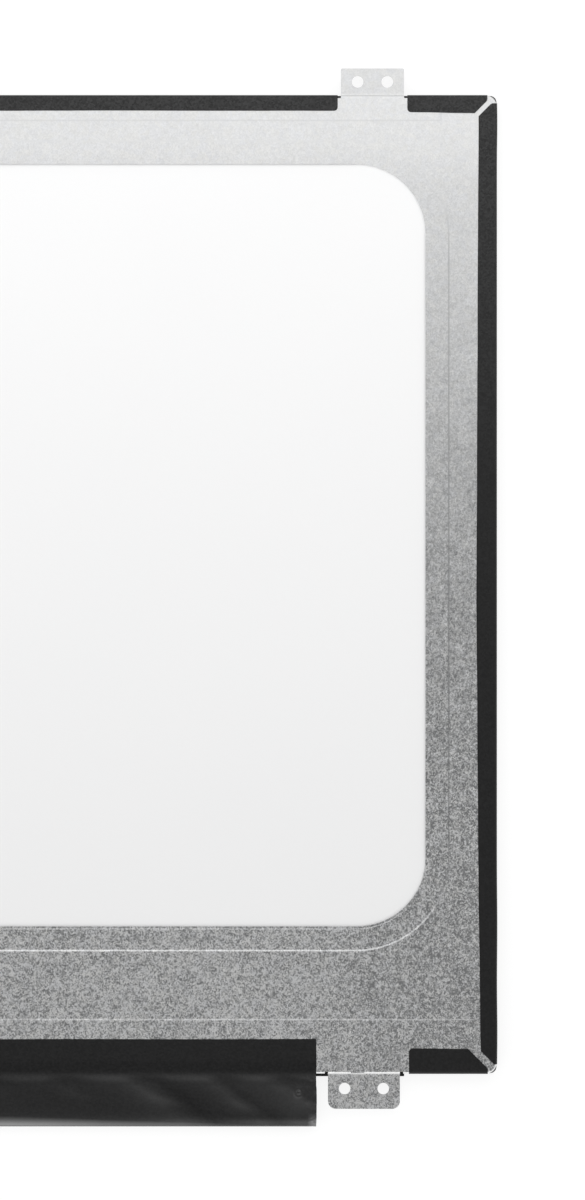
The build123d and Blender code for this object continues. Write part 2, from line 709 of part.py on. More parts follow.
# Flat chips on the back of the board
flat_chips = (
    ("timing_chip", TIMING_CHIP_X, TIMING_CHIP_W, TIMING_CHIP_W, TIMING_CHIP_T),
    ("memory_chip", MEMORY_CHIP_X, MEMORY_CHIP_W, MEMORY_CHIP_D, MEMORY_CHIP_T),
    ("power_chip", POWER_CHIP_X, POWER_CHIP_W, POWER_CHIP_W, POWER_CHIP_T),
    ("backlight_chip", backlight_chip_x, BACKLIGHT_CHIP_W, BACKLIGHT_CHIP_W, BACKLIGHT_CHIP_T),
    ("rectifier_diode", diode_x, DIODE_W, DIODE_D, DIODE_T),
    ("input_fuse", FUSE_X, FUSE_W, FUSE_D, FUSE_T),
)
for chip_name, chip_x, chip_w, chip_d, chip_t in flat_chips:
    with BuildPart() as flat_chip:
        with BuildSketch(Plane.XY.offset(z_board_back)):
            with Locations((chip_x, board_mid)):
                Rectangle(chip_w, chip_d)
        extrude(amount=chip_t)
        chamfer(flat_chip.faces().sort_by(Axis.Z)[-1].edges(), length=CHIP_CHAMFER)
    flat_chip.part.label = chip_name
    export_step(flat_chip.part, f"parts/{chip_name}.step")

# Wound coils: a square foot under a round-cornered cap
for coil_name, coil_x, coil_w in (
    ("power_coil", POWER_COIL_X, POWER_COIL_W),
    ("backlight_coil", backlight_coil_x, BACKLIGHT_COIL_W),
):
    with BuildPart() as coil:
        with BuildSketch(Plane.XY.offset(z_board_back)):
            with Locations((coil_x, board_mid)):
                Rectangle(coil_w, coil_w)
        extrude(amount=COIL_FOOT_T)
        with BuildSketch(Plane.XY.offset(z_board_back + COIL_FOOT_T)):
            with Locations((coil_x, board_mid)):
                Circle(coil_w / 2 - COIL_STEP)
        extrude(amount=COIL_T - 2 * COIL_FOOT_T)
        with BuildSketch(Plane.XY.offset(z_board_back + COIL_T - COIL_FOOT_T)):
            with Locations((coil_x, board_mid)):
                RectangleRounded(coil_w, coil_w, COIL_STEP)
        extrude(amount=COIL_FOOT_T)
    coil.part.label = coil_name
    export_step(coil.part, f"parts/{coil_name}.step")

# Small capacitors: a pair of columns at each power part, and one by the board's right end
with BuildPart() as capacitors:
    with BuildSketch(Plane.XY.offset(z_board_back)):
        for column_x in (POWER_CHIP_X, backlight_chip_x, FUSE_X, TIMING_CHIP_X):
            with Locations((column_x + CAP_COLUMN, board_mid)):
                with GridLocations(CAP_PITCH_X, CAP_PITCH_Y, CAP_COLUMNS, CAP_ROWS):
                    Rectangle(CAP_W, CAP_D)
    extrude(amount=CAP_T)
    with BuildSketch(Plane.XY.offset(z_board_back)):
        with Locations((board_x - END_CAP_IN, board_top - END_CAP_DOWN)):
            Rectangle(CAP_D, CAP_W)
    extrude(amount=END_CAP_T)
capacitors.part.label = "capacitors"
export_step(capacitors.part, "parts/capacitors.step")

# Small resistors: a short block of rows by each outer driver film
with BuildPart() as resistors:
    with BuildSketch(Plane.XY.offset(z_board_back)):
        for row_x in (-outer_driver_x, outer_driver_x):
            with Locations((row_x, board_mid)):
                with GridLocations(RESISTOR_PITCH, CAP_PITCH_Y, RESISTOR_COLUMNS, RESISTOR_ROWS):
                    Rectangle(RESISTOR_W, RESISTOR_D)
    extrude(amount=RESISTOR_T)
resistors.part.label = "resistors"
export_step(resistors.part, "parts/resistors.step")

# Video socket: moulded body with its mouth at the board's lower edge
mouth_y = board_bottom + SOCKET_EDGE
socket_back_y = mouth_y + SOCKET_D
body_w = SOCKET_W - 2 * SHELL_T
body_h = SOCKET_H - SHELL_T
z_mouth = z_board_back + (body_h - MOUTH_H) / 2
contact_row_w = (CONTACT_COUNT - 1) * CONTACT_PITCH + CONTACT_W
with BuildPart() as socket_body:
    with BuildSketch(Plane.XY.offset(z_board_back)):
        with Locations((SOCKET_X, (mouth_y + socket_back_y) / 2)):
            Rectangle(body_w, SOCKET_D)
    extrude(amount=body_h)
    with BuildSketch(Plane.XY.offset(z_mouth)):
        with Locations((SOCKET_X, mouth_y)):
            Rectangle(body_w - 2 * MOUTH_END, 2 * MOUTH_D)
    extrude(amount=MOUTH_H, mode=Mode.SUBTRACT)
    with BuildSketch(Plane.XY.offset(z_mouth)):
        with Locations((SOCKET_X, socket_back_y)):
            Rectangle(contact_row_w + CONTACT_PITCH, 2 * (SOCKET_D - MOUTH_D))
    extrude(amount=CONTACT_T, mode=Mode.SUBTRACT)
socket_body.part.label = "socket_body"
export_step(socket_body.part, "parts/socket_body.step")

# Socket shell: a folded sheet over the body's back and ends, with two latch windows
with BuildPart() as socket_shell:
    with BuildSketch(Plane.XY.offset(z_board_back)):
        with Locations((SOCKET_X, (mouth_y + socket_back_y) / 2)):
            Rectangle(SOCKET_W, SOCKET_D)
    extrude(amount=SOCKET_H)
    with BuildSketch(Plane.XY.offset(z_board_back)):
        with Locations((SOCKET_X, (mouth_y + socket_back_y) / 2)):
            Rectangle(body_w, SOCKET_D)
    extrude(amount=body_h, mode=Mode.SUBTRACT)
    with BuildSketch(Plane.XY.offset(z_board_back + body_h)):
        with Locations((SOCKET_X, mouth_y + LATCH_IN)):
            with GridLocations(SOCKET_W - LATCH_END, 1, 2, 1):
                Rectangle(LATCH_W, LATCH_D)
    extrude(amount=SHELL_T, mode=Mode.SUBTRACT)
socket_shell.part.label = "socket_shell"
export_step(socket_shell.part, "parts/socket_shell.step")

# Contacts: a row of bent strips on the mouth's floor, with feet on the board behind
with BuildPart() as socket_contacts:
    first_x = SOCKET_X - (CONTACT_COUNT - 1) * CONTACT_PITCH / 2
    for contact in range(CONTACT_COUNT):
        contact_x = first_x + contact * CONTACT_PITCH
        with BuildSketch(Plane.YZ.offset(contact_x - CONTACT_W / 2)):
            with BuildLine():
                Polyline(
                    (mouth_y + CONTACT_TAIL, z_mouth + CONTACT_T),
                    (mouth_y + CONTACT_TAIL, z_mouth),
                    (socket_back_y + CONTACT_T, z_mouth),
                    (socket_back_y + CONTACT_T, z_board_back),
                    (socket_back_y + CONTACT_TAIL, z_board_back),
                    (socket_back_y + CONTACT_TAIL, z_board_back + CONTACT_T),
                    (socket_back_y + 2 * CONTACT_T, z_board_back + CONTACT_T),
                    (socket_back_y + 2 * CONTACT_T, z_mouth + CONTACT_T),
                    close=True,
                )
            make_face()
        extrude(amount=CONTACT_W)
socket_contacts.part.label = "socket_contacts"
export_step(socket_contacts.part, "parts/socket_contacts.step")

# Board cover: black film stuck to the plate, laid over the board and rolled round its edge
with BuildPart() as board_cover:
    with BuildSketch(Plane.YZ.offset(-cover_x)):
        with BuildLine():
            FilletPolyline(
                (body_bottom + COVER_LAP, z_lamp_strip),
                (plate_bottom, z_lamp_strip),
                (body_bottom - COVER_SLOPE, z_cover_in),
                (roll_y, z_cover_in),
                (roll_y, z_driver),
                (cover_front_y, z_driver),
                radius=(COVER_FOLD_R, COVER_FOLD_R, roll_r, roll_r),
            )
            offset(amount=TAPE_T, side=Side.RIGHT)
        make_face()
    extrude(amount=2 * cover_x)
    # Opening round the video socket, down to the board's lower edge
    opening_w = SOCKET_W + 2 * SOCKET_ROOM
    opening_top = socket_back_y + CONTACT_TAIL + SOCKET_ROOM
    with BuildSketch(Plane.XY.offset(z_board_back)):
        with Locations((SOCKET_X, (opening_top + roll_y - roll_r) / 2)):
            Rectangle(opening_w, opening_top - roll_y + roll_r)
    extrude(amount=2 * COVER_ROOM, mode=Mode.SUBTRACT)
    with BuildSketch():
        with Locations((SOCKET_X, (board_bottom + roll_y - roll_r) / 2)):
            Rectangle(opening_w, board_bottom - roll_y + roll_r)
    extrude(amount=z_board_back, mode=Mode.SUBTRACT)
board_cover.part.label = "board_cover"
export_step(board_cover.part, "parts/board_cover.step")

# Tape over the glass ledge and the tops of the driver films, on the screen side
with BuildPart() as ledge_tape:
    with BuildSketch(Plane.XY.offset(z_driver - TAPE_T)):
        ledge_x = bottom_tape_x - LEDGE_TAPE_GAP
        sheet_outline(ledge_x, body_bottom - LEDGE_TAPE_OVER, filter_bottom - LEDGE_GAP)
    extrude(amount=TAPE_T)
ledge_tape.part.label = "ledge_tape"
export_step(ledge_tape.part, "parts/ledge_tape.step")


def folded_tape(plane, length, edge, side, z_back, z_front, back_flap, front_flap):
    """A tape folded round an edge, from its flap on the plate to its flap on the cell."""
    with BuildPart() as tape:
        with BuildSketch(plane):
            with BuildLine():
                inner = Polyline(
                    (edge - side * back_flap, z_back),
                    (edge, z_back),
                    (edge, z_front),
                    (edge - side * front_flap, z_front),
                )
                outer = Polyline(
                    (edge - side * back_flap, z_back + TAPE_T),
                    (edge + side * TAPE_T, z_back + TAPE_T),
                    (edge + side * TAPE_T, z_front - TAPE_T),
                    (edge - side * front_flap, z_front - TAPE_T),
                )
                Line(inner @ 0, outer @ 0)
                Line(inner @ 1, outer @ 1)
            make_face()
        extrude(amount=length)
    return tape.part


def end_wedge(*corners):
    """Wedge through both flaps of a tape, to cut its end at 45 degrees."""
    with BuildPart() as wedge:
        with BuildSketch():
            with BuildLine():
                Polyline(*corners, close=True)
            make_face()
        extrude(amount=z_lamp_strip + PLATE_T)
    return wedge.part


# Edge tapes: black film strips folded from the plate round on to the cell
top_front_flap = plate_top - VIEW_H / 2 - FRONT_POLARISER_MARGIN - FLAP_GAP
side_front_flap = plate_x - VIEW_W / 2 - FRONT_POLARISER_MARGIN - FLAP_GAP
bottom_front_flap = filter_bottom - LEDGE_GAP - plate_bottom
tab_inner_x = top_tab_x - TOP_TAB_W / 2 - TAB_RELIEF
tab_outer_x = top_tab_x + TOP_TAB_W / 2 + TAB_RELIEF

with BuildPart() as top_centre_tape:
    plane = Plane.YZ.offset(-tab_inner_x)
    length = 2 * tab_inner_x
    add(folded_tape(plane, length, plate_top, 1, z_top_strip, z_filter, TOP_FLAP, top_front_flap))
    flap_corners = top_centre_tape.edges().filter_by(Axis.Z).group_by(Axis.Z)[-1]
    fillet(flap_corners.group_by(Axis.Y)[0], radius=FLAP_CORNER_R)
top_centre_tape.part.label = "top_centre_tape"
export_step(top_centre_tape.part, "parts/top_centre_tape.step")

with BuildPart() as top_right_tape:
    plane = Plane.YZ.offset(tab_outer_x)
    tape_end = body_x - TOP_TAPE_END
    length = tape_end - tab_outer_x
    flap = TOP_CORNER_FLAP
    add(folded_tape(plane, length, plate_top, 1, z_top_strip, z_filter, flap, top_front_flap))
    flap_corners = top_right_tape.edges().filter_by(Axis.Z).group_by(Axis.Z)[-1]
    fillet(flap_corners.sort_by(Axis.X)[0], radius=FLAP_CORNER_R)
    cut = flap + top_front_flap
    cut_y = body_top - MITRE_START
    wedge = end_wedge((tape_end, cut_y), (tape_end, cut_y - cut), (tape_end - cut, cut_y - cut))
    add(wedge, mode=Mode.SUBTRACT)
top_right_tape.part.label = "top_right_tape"
export_step(top_right_tape.part, "parts/top_right_tape.step")

with BuildPart() as right_side_tape:
    side_top = body_top - SIDE_TAPE_TOP_END
    side_bottom = body_bottom + SIDE_TAPE_BOTTOM_END
    plane = Plane.XZ.offset(-side_top)
    length = side_top - side_bottom
    add(folded_tape(plane, length, plate_x, 1, z_plate_out, z_filter, SIDE_FLAP, side_front_flap))
    cut = SIDE_FLAP + side_front_flap
    cut_x = body_x - MITRE_START
    wedge = end_wedge((cut_x, side_top), (cut_x - cut, side_top), (cut_x - cut, side_top - cut))
    add(wedge, mode=Mode.SUBTRACT)
    cut_x = body_x - SIDE_MITRE_START
    wedge = end_wedge(
        (cut_x, side_bottom), (cut_x - cut, side_bottom), (cut_x - cut, side_bottom + cut)
    )
    add(wedge, mode=Mode.SUBTRACT)
right_side_tape.part.label = "right_side_tape"
export_step(right_side_tape.part, "parts/right_side_tape.step")

with BuildPart() as bottom_right_tape:
    plane = Plane.YZ.offset(bottom_tape_x)
    tape_end = body_x - BOTTOM_TAPE_END
    length = tape_end - bottom_tape_x
    flap = BOTTOM_FLAP
    add(folded_tape(plane, length, plate_bottom, -1, z_lamp_strip, z_array, flap, bottom_front_flap))
    flap_corners = bottom_right_tape.edges().filter_by(Axis.Z).group_by(Axis.Z)[-1]
    fillet(flap_corners.sort_by(Axis.X)[0], radius=FLAP_CORNER_R)
    cut = flap + bottom_front_flap
    cut_y = body_bottom + MITRE_START
    wedge = end_wedge((tape_end, cut_y), (tape_end, cut_y + cut), (tape_end - cut, cut_y + cut))
    add(wedge, mode=Mode.SUBTRACT)
bottom_right_tape.part.label = "bottom_right_tape"
export_step(bottom_right_tape.part, "parts/bottom_right_tape.step")

mirrored_tapes = (
    ("top_left_tape", top_right_tape),
    ("left_side_tape", right_side_tape),
    ("bottom_left_tape", bottom_right_tape),
)
for tape_name, right_tape in mirrored_tapes:
    with BuildPart() as left_tape:
        mirror(right_tape.part, about=Plane.YZ)
    left_tape.part.label = tape_name
    export_step(left_tape.part, f"parts/{tape_name}.step")
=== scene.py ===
from math import cos, exp, pi, radians, sin, sqrt

import bpy
import numpy as np
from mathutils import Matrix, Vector, noise


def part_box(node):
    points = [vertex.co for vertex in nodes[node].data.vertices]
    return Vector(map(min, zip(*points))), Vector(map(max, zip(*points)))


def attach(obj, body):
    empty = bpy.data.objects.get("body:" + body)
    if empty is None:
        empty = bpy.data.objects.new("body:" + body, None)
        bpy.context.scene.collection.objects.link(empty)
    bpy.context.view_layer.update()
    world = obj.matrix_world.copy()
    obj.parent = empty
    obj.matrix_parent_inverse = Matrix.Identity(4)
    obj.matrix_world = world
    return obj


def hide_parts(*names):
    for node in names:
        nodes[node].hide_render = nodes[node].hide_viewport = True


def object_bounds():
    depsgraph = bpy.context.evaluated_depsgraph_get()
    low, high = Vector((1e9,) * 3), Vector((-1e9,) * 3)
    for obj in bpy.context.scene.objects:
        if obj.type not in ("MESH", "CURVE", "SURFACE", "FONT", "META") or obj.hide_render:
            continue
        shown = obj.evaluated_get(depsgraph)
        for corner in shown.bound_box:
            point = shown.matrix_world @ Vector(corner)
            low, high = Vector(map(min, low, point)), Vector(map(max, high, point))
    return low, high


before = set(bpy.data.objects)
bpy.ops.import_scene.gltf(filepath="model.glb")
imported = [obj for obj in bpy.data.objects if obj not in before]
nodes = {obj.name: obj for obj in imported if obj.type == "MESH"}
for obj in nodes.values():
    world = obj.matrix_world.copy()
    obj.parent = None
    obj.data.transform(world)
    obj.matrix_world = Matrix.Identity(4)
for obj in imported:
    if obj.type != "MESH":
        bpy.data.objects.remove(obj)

cad_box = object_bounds()


# Liquid crystal cell: two thin glasses between two polariser films, the screen itself.
# The front film is dark and finely matted against glare. The glasses are bonded at
# their edges and held down in the lip of the carrier frame.
class Wire:
    """One output socket in a material, so that shader maths reads as plain sums."""

    def __init__(self, socket):
        self.socket = socket

    def node(self, kind, settings, sockets, output=0):
        """A node of some kind in the same material, set up and filled in; gives one of its outputs."""
        tree = self.socket.id_data
        made = tree.nodes.new(kind)
        for key, value in settings.items():
            if key == "stops":
                ramp = made.color_ramp
                ramp.elements.remove(ramp.elements[1])
                for number, (place, shade) in enumerate(value):
                    stop = ramp.elements.new(place) if number else ramp.elements[0]
                    stop.position = place
                    stop.color = (shade, shade, shade, 1)
            else:
                setattr(made, key, value)
        for key, value in sockets.items():
            if isinstance(value, Wire):
                tree.links.new(value.socket, made.inputs[key])
            else:
                made.inputs[key].default_value = value
        return Wire(made.outputs[output])

    def maths(self, operation, first, second):
        return self.node("ShaderNodeMath", {"operation": operation}, {0: first, 1: second})

    def __add__(self, other):
        return self.maths("ADD", self, other)

    def __sub__(self, other):
        return self.maths("SUBTRACT", self, other)

    def __rsub__(self, other):
        return self.maths("SUBTRACT", other, self)

    def __mul__(self, other):
        return self.maths("MULTIPLY", self, other)

    def __truediv__(self, other):
        return self.maths("DIVIDE", self, other)

    def __rpow__(self, other):
        return self.maths("POWER", other, self)

    __radd__ = __add__
    __rmul__ = __mul__


def start_finish(name):
    """A new material, and the place on the piece in millimetres."""
    material = bpy.data.materials.new(name)
    material.use_nodes = True
    metres = Wire(material.node_tree.nodes.new("ShaderNodeTexCoord").outputs["Object"])
    place = metres.node("ShaderNodeVectorMath", {"operation": "SCALE"}, {0: metres, "Scale": 1000.0})
    return material, place


def fill_shader(material, sockets):
    """Fills the sockets of the material's own shader."""
    shader = material.node_tree.nodes["Principled BSDF"]
    for key, value in sockets.items():
        if isinstance(value, Wire):
            material.node_tree.links.new(value.socket, shader.inputs[key])
        else:
            shader.inputs[key].default_value = value


def mottle(place, size, detail=3.0, roughness=0.5):
    """Soft noise, about 0 to 1, with patches of that size in millimetres."""
    return place.node(
        "ShaderNodeTexNoise",
        {"noise_dimensions": "3D"},
        {"Vector": place, "Scale": 1 / size, "Detail": detail, "Roughness": roughness},
    )


def blend_colour(share, first, second):
    """A colour that goes from the first to the second with the share."""
    ends = [end if isinstance(end, Wire) else (*end, 1) for end in (first, second)]
    return share.node("ShaderNodeMix", {"data_type": "RGBA"}, {0: share, 6: ends[0], 7: ends[1]}, output=2)

def raised(height, depth):
    """A normal that follows a height of 0 to 1 over this depth in millimetres."""
    return height.node("ShaderNodeBump", {}, {"Height": height, "Distance": depth / 1000, "Strength": 1.0})


def plain_finish(name, dark, light, roughness, grain, depth, **fixed):
    """A moulded, printed or fired finish: two close shades in patches, with a fine grain."""
    material, place = start_finish(name)
    patches = mottle(place, grain * 12)
    fine = mottle(place, grain, detail=4.0)
    fill_shader(
        material,
        {
            "Base Color": blend_colour(patches * 0.6 + fine * 0.4, dark, light),
            "Roughness": roughness + (fine - 0.5) * 0.2,
            "Normal": raised(fine, depth),
            **fixed,
        },
    )
    return material


def give(material, *names):
    """Puts a finish on solids of the frame."""
    for name in names:
        mesh = nodes[name].data
        mesh.materials.clear()
        mesh.materials.append(material)


give(
    plain_finish("matted_screen", (0.008, 0.008, 0.01), (0.014, 0.014, 0.016), 0.34, 0.05, 0.004),
    "front_polariser",
)
clear_glass = {"Transmission Weight": 0.8, "IOR": 1.51}
give(
    plain_finish("cell_glass", (0.62, 0.74, 0.7), (0.68, 0.8, 0.76), 0.08, 0.8, 0.0005, **clear_glass),
    "colour_filter_glass",
    "array_glass",
)
give(
    plain_finish("grey_polariser", (0.05, 0.05, 0.06), (0.08, 0.08, 0.09), 0.25, 0.3, 0.001),
    "rear_polariser",
)

# Light sheets and light guide: two prism sheets and a diffuser, hung by ears, over a
# moulded clear acrylic plate that spreads the light of the lamps along its lower edge.
# All are held between the black rim tape and the reflector, inside the carrier frame.
half_clear = {"Transmission Weight": 0.5}
give(
    plain_finish("prism_film", (0.7, 0.72, 0.74), (0.8, 0.82, 0.84), 0.3, 0.05, 0.01, **half_clear),
    "upper_prism_sheet",
    "lower_prism_sheet",
    "diffuser_sheet",
)
nearly_clear = {"Transmission Weight": 0.85, "IOR": 1.49}
give(
    plain_finish("clear_acrylic", (0.82, 0.86, 0.88), (0.88, 0.91, 0.93), 0.1, 0.6, 0.001, **nearly_clear),
    "light_guide",
)

# Reflector: a white foamed film behind the light guide, seen through the plate's window.
# It is satin, a little uneven, and lies in very shallow waves between the rim's edges.
white_film, place = start_finish("white_film")
cloud = mottle(place, 40.0, detail=2.0)
foam = mottle(place, 0.35, detail=3.0)
swell = mottle(place, 55.0, detail=1.0)
fill_shader(
    white_film,
    {
        "Base Color": blend_colour(cloud * 0.7 + foam * 0.3, (0.916, 0.918, 0.92), (0.934, 0.934, 0.934)),
        "Roughness": 0.5 + (foam - 0.5) * 0.15,
        "Normal": raised(swell * 0.98 + foam * 0.02, 0.6),
    },
)
give(white_film, "reflector_sheet")

# Carrier frame: a black moulded ring round the light guide with a thin lip round the cell.
# Its back snaps into the plate's walls, and the lip's edge shows at the open corners.
give(
    plain_finish("black_moulding", (0.008, 0.008, 0.009), (0.016, 0.016, 0.017), 0.5, 0.2, 0.01),
    "mould_frame",
)

# Back plate: one sheet of galvanised steel, pressed, pierced and folded down at its edges.
# The zinc has frozen in fine feathered grains, each lying at its own small angle, so they
# wash out where the light falls full on them and stand out where it only grazes them.
zinc, place = start_finish("galvanised_steel")


def vector_sum(operation, first, second):
    """Vector maths on two wires, or on a wire and a number for a scale."""
    if operation == "SCALE":
        return first.node("ShaderNodeVectorMath", {"operation": operation}, {0: first, "Scale": second})
    return first.node("ShaderNodeVectorMath", {"operation": operation}, {0: first, 1: second})


def grains(place, size, output):
    """Random cells of a size in millimetres."""
    return place.node(
        "ShaderNodeTexVoronoi",
        {"voronoi_dimensions": "3D", "feature": "F1"},
        {"Vector": place, "Scale": 1 / size, "Randomness": 1.0},
        output=output,
    )


def even_tilt(cells, amount):
    """Random directions of up to this slope from a random colour."""
    centred = vector_sum("SUBTRACT", cells, (0.5, 0.5, 0.5))
    return vector_sum("SCALE", centred, amount)


def apart(vector, output):
    """One of the three numbers of a place, a direction or a cell's random colour."""
    return vector.node("ShaderNodeSeparateXYZ", {}, {"Vector": vector}, output=output)


def bounded(value, low=0.0, high=1.0):
    """The value, kept between two limits."""
    return value.node("ShaderNodeClamp", {}, {"Value": value, "Min": low, "Max": high})


def past(value, start, run):
    """0 before a start and 1 a run past it; a negative run goes the other way."""
    return bounded((value - start) / run)

curl = place.node(
    "ShaderNodeTexNoise",
    {"noise_dimensions": "3D"},
    {"Vector": place, "Scale": 1 / 0.6, "Detail": 3.0, "Roughness": 0.6},
    output="Color",
)
bent_place = vector_sum("ADD", place, even_tilt(curl, 0.35))
patch_cells = grains(bent_place, 4.2, "Color")
grain_cells = grains(bent_place, 1.2, "Color")
fine_cells = grains(place, 0.26, "Color")
# In each patch the leaves lie their own way
leaf_turn = apart(patch_cells, 0) * 6.3
turned = place.node(
    "ShaderNodeVectorRotate", {"rotation_type": "Z_AXIS"}, {"Vector": bent_place, "Angle": leaf_turn}
)
leaf_cells = grains(vector_sum("MULTIPLY", turned, (0.62, 1.0, 1.0)), 0.46, "Color")
# The coat lies smoother towards the panel's top edge, where the grains hardly show; their shades are
# painted fainter there too, a painted wash of light
height_up = apart(place, 1)
below_top = 92.0 - height_up
spread = bounded(0.046 * 22.0 ** (below_top / 163.0), 0.03, 1.2)
# Painted light: the grains' colour contrast fades towards the top, standing in for the lamp's glare
painted_glare_contrast = bounded(0.12 * 8.0 ** (below_top / 140.0), 0.1, 1.0)
# Along the pressed lines the sheet is drawn to a soft bend, and the lines are painted darker, a painted
# shade
lower_tab_y, lower_edge_y, crease_y, lower_band_y = -107.9, -104.0, -90.0, -70.0
rim_foot_y, rim_head_y, top_band_y, top_strip_y, top_tab_y = -74.0, 82.0, 84.0, 95.5, 104.6
facing = Wire(zinc.node_tree.nodes.new("ShaderNodeNewGeometry").outputs["Normal"])
upright = apart(facing, 2)
sloping = bounded((0.99 - upright) * 40.0)
pressed = sloping * bounded((upright - 0.75) * 10.0) * past(height_up, lower_edge_y + 1.0, 1.0)
flattened = 0.2 + 0.22 * past(height_up, crease_y, -1.0) + 0.8 * past(height_up, rim_foot_y - 2.0, 20.0)
softened = 1.0 - pressed * flattened
eased = vector_sum("ADD", vector_sum("SCALE", facing, softened), (0.0, 0.0, 0.001))
level = upright.node("ShaderNodeCombineXYZ", {}, {"Z": upright * (1.0 - softened)})
tilt = vector_sum("ADD", even_tilt(patch_cells, 0.05), even_tilt(grain_cells, 0.1))
tilt = vector_sum("ADD", tilt, even_tilt(leaf_cells, 0.1))
tilt = vector_sum("SCALE", tilt, spread * (1.0 - 0.75 * pressed))
tilted = vector_sum("ADD", vector_sum("ADD", eased, level), tilt)
tilted = tilted.node("ShaderNodeVectorMath", {"operation": "NORMALIZE"}, {0: tilted})
# Each grain has a shade of its own, and a few leaves are dark or pale flecks
shade = (apart(leaf_cells, 1) - 0.5) * 0.68 + (apart(grain_cells, 1) - 0.5) * 0.36
shade = shade + (apart(fine_cells, 1) - 0.5) * 1.6 + (apart(patch_cells, 2) - 0.5) * 0.22
chance = apart(leaf_cells, 2)
shade = shade - 0.3 * bounded((chance - 0.84) * 9.0) + 0.4 * bounded((0.14 - chance) * 9.0)
# The plate's colour carries painted light: paler along the middle of the lower band, on the lower tabs
# and up towards its top, darker on the top tab, and a painted highlight at the lower tabs' bends
off_middle = apart(place, 0).maths("ABSOLUTE", apart(place, 0), 0.0)
# Painted light: the lower band's middle is painted paler
painted_light_lower_band = 0.2 * past(off_middle, 160.0, -25.0) * past(height_up, lower_band_y, -10.0)
# Painted light and shade: the lower tabs are painted paler and the top tab darker
painted_tab_light_and_shade = 0.15 * past(height_up, lower_tab_y, -0.5) - 0.1 * past(height_up, top_tab_y, 0.5)
bent_over = bounded((0.98 - upright) * 6.0) * bounded((upright - 0.1) * 8.0)
# Painted highlight: the lower tabs' bends are painted bright
painted_bend_highlight = 0.9 * bent_over * past(height_up, lower_edge_y, -0.5)
painted_bend_highlight = painted_bend_highlight + 0.6 * past(height_up, lower_tab_y - 1.2, 1.2) * past(height_up, lower_tab_y + 0.4, -0.25)
# Painted light: the plate is painted paler up towards its top
painted_light_to_top = 0.33 * past(height_up, -12.0, 112.0) + 0.08 * past(height_up, top_band_y, 8.0)
level_with_painted_light = 0.448 + painted_light_lower_band + painted_tab_light_and_shade + painted_bend_highlight + painted_light_to_top
shade = level_with_painted_light + 0.82 * shade * painted_glare_contrast * (1.0 - 0.6 * sloping)
# Painted shade: the pressed lines on the top strip and along the sides are darkened in colour
painted_shade_top_strip = 0.1 * past(height_up, top_strip_y, 1.0) * past(height_up, top_strip_y + 6.0, -0.5)
painted_shade_side_lines = 0.24 * past(height_up, rim_head_y, -12.0) * past(height_up, rim_foot_y, 8.0)
shade = bounded((shade - pressed * (painted_shade_top_strip + painted_shade_side_lines)) * 0.91)
pale_zinc = blend_colour(apart(grain_cells, 0), (0.832, 0.832, 0.823), (0.817, 0.824, 0.836))
fill_shader(
    zinc,
    {
        "Base Color": blend_colour(shade, (0.272, 0.276, 0.279), pale_zinc),
        "Metallic": 1.0,
        "Roughness": 0.38 + (apart(fine_cells, 2) - 0.5) * 0.06,
        "Normal": tilted,
    },
)
give(zinc, "back_plate")

# Lip of the window's lower edge, where the punch has drawn the sheet up into a low burr
# that runs along the edge and dies out round the corners. It is part of the plate.
body_x = cad_box[1].x * 1000
body_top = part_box("top_centre_tape")[1].y * 1000
body_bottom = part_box("bottom_right_tape")[0].y * 1000
window_x, window_r = body_x - 15.5, 15.0
window_top, window_bottom = body_top - 15.0, body_bottom + 31.8
rim_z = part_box("reflector_sheet")[1].z * 1000 + 0.3
lip_points, lip_faces = [], []
lip_steps, lip_sides = 28, 5
lip_root, lip_skin, lip_rise = -0.2, 0.004, 0.1
for corner, (right, top) in enumerate(((1, 1), (-1, 1), (-1, -1), (1, -1))):
    middle_x = right * (window_x - window_r)
    middle_y = window_top - window_r if top > 0 else window_bottom + window_r
    for step in range(lip_steps + 1):
        angle = pi / 2 * (corner + step / lip_steps)
        drawn = max(0.0, -sin(angle)) ** 2
        inner, crest = -0.18 * drawn, lip_skin + lip_rise * drawn
        section = ((inner, lip_root), (0.46, lip_root), (0.42, crest), (0.28, lip_skin), (inner, lip_skin))
        for outward, above in section:
            reach = window_r + outward
            lip_points.append((middle_x + reach * cos(angle), middle_y + reach * sin(angle), rim_z + above))
for ring in range(len(lip_points) // lip_sides):
    here, there = ring * lip_sides, (ring + 1) * lip_sides % len(lip_points)
    for side in range(lip_sides):
        beside = (side + 1) % lip_sides
        lip_faces.append((here + side, here + beside, there + beside, there + side))
lip_mesh = bpy.data.meshes.new("window_lip")
lip_mesh.from_pydata([tuple(c / 1000 for c in point) for point in lip_points], [], lip_faces)
lip_mesh.materials.append(zinc)
lip = bpy.data.objects.new("window_lip", lip_mesh)
bpy.context.scene.collection.objects.link(lip)
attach(lip, "root")

# Lamp strip: a white flexible circuit on the frame's lower rail, with small lamps soldered
# along it, a grey heat pad behind them and a tail that drops to the board.
give(
    plain_finish("white_circuit_film", (0.74, 0.73, 0.68), (0.84, 0.83, 0.78), 0.45, 0.4, 0.01),
    "lamp_flex",
)
lamp_white, place = start_finish("lamp_white")
lamp_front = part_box("lamps")[1].y * 1000
lamp_window = past(apart(place, 1), lamp_front - 0.2, 1 / 12)
fill_shader(
    lamp_white,
    {
        "Base Color": blend_colour(lamp_window, (0.86, 0.86, 0.84), (0.8, 0.66, 0.12)),
        "Roughness": 0.4 + (mottle(place, 0.2) - 0.5) * 0.2,
    },
)
give(lamp_white, "lamps")
give(plain_finish("heat_pad", (0.3, 0.31, 0.32), (0.4, 0.41, 0.42), 0.7, 0.15, 0.02), "heat_pad")

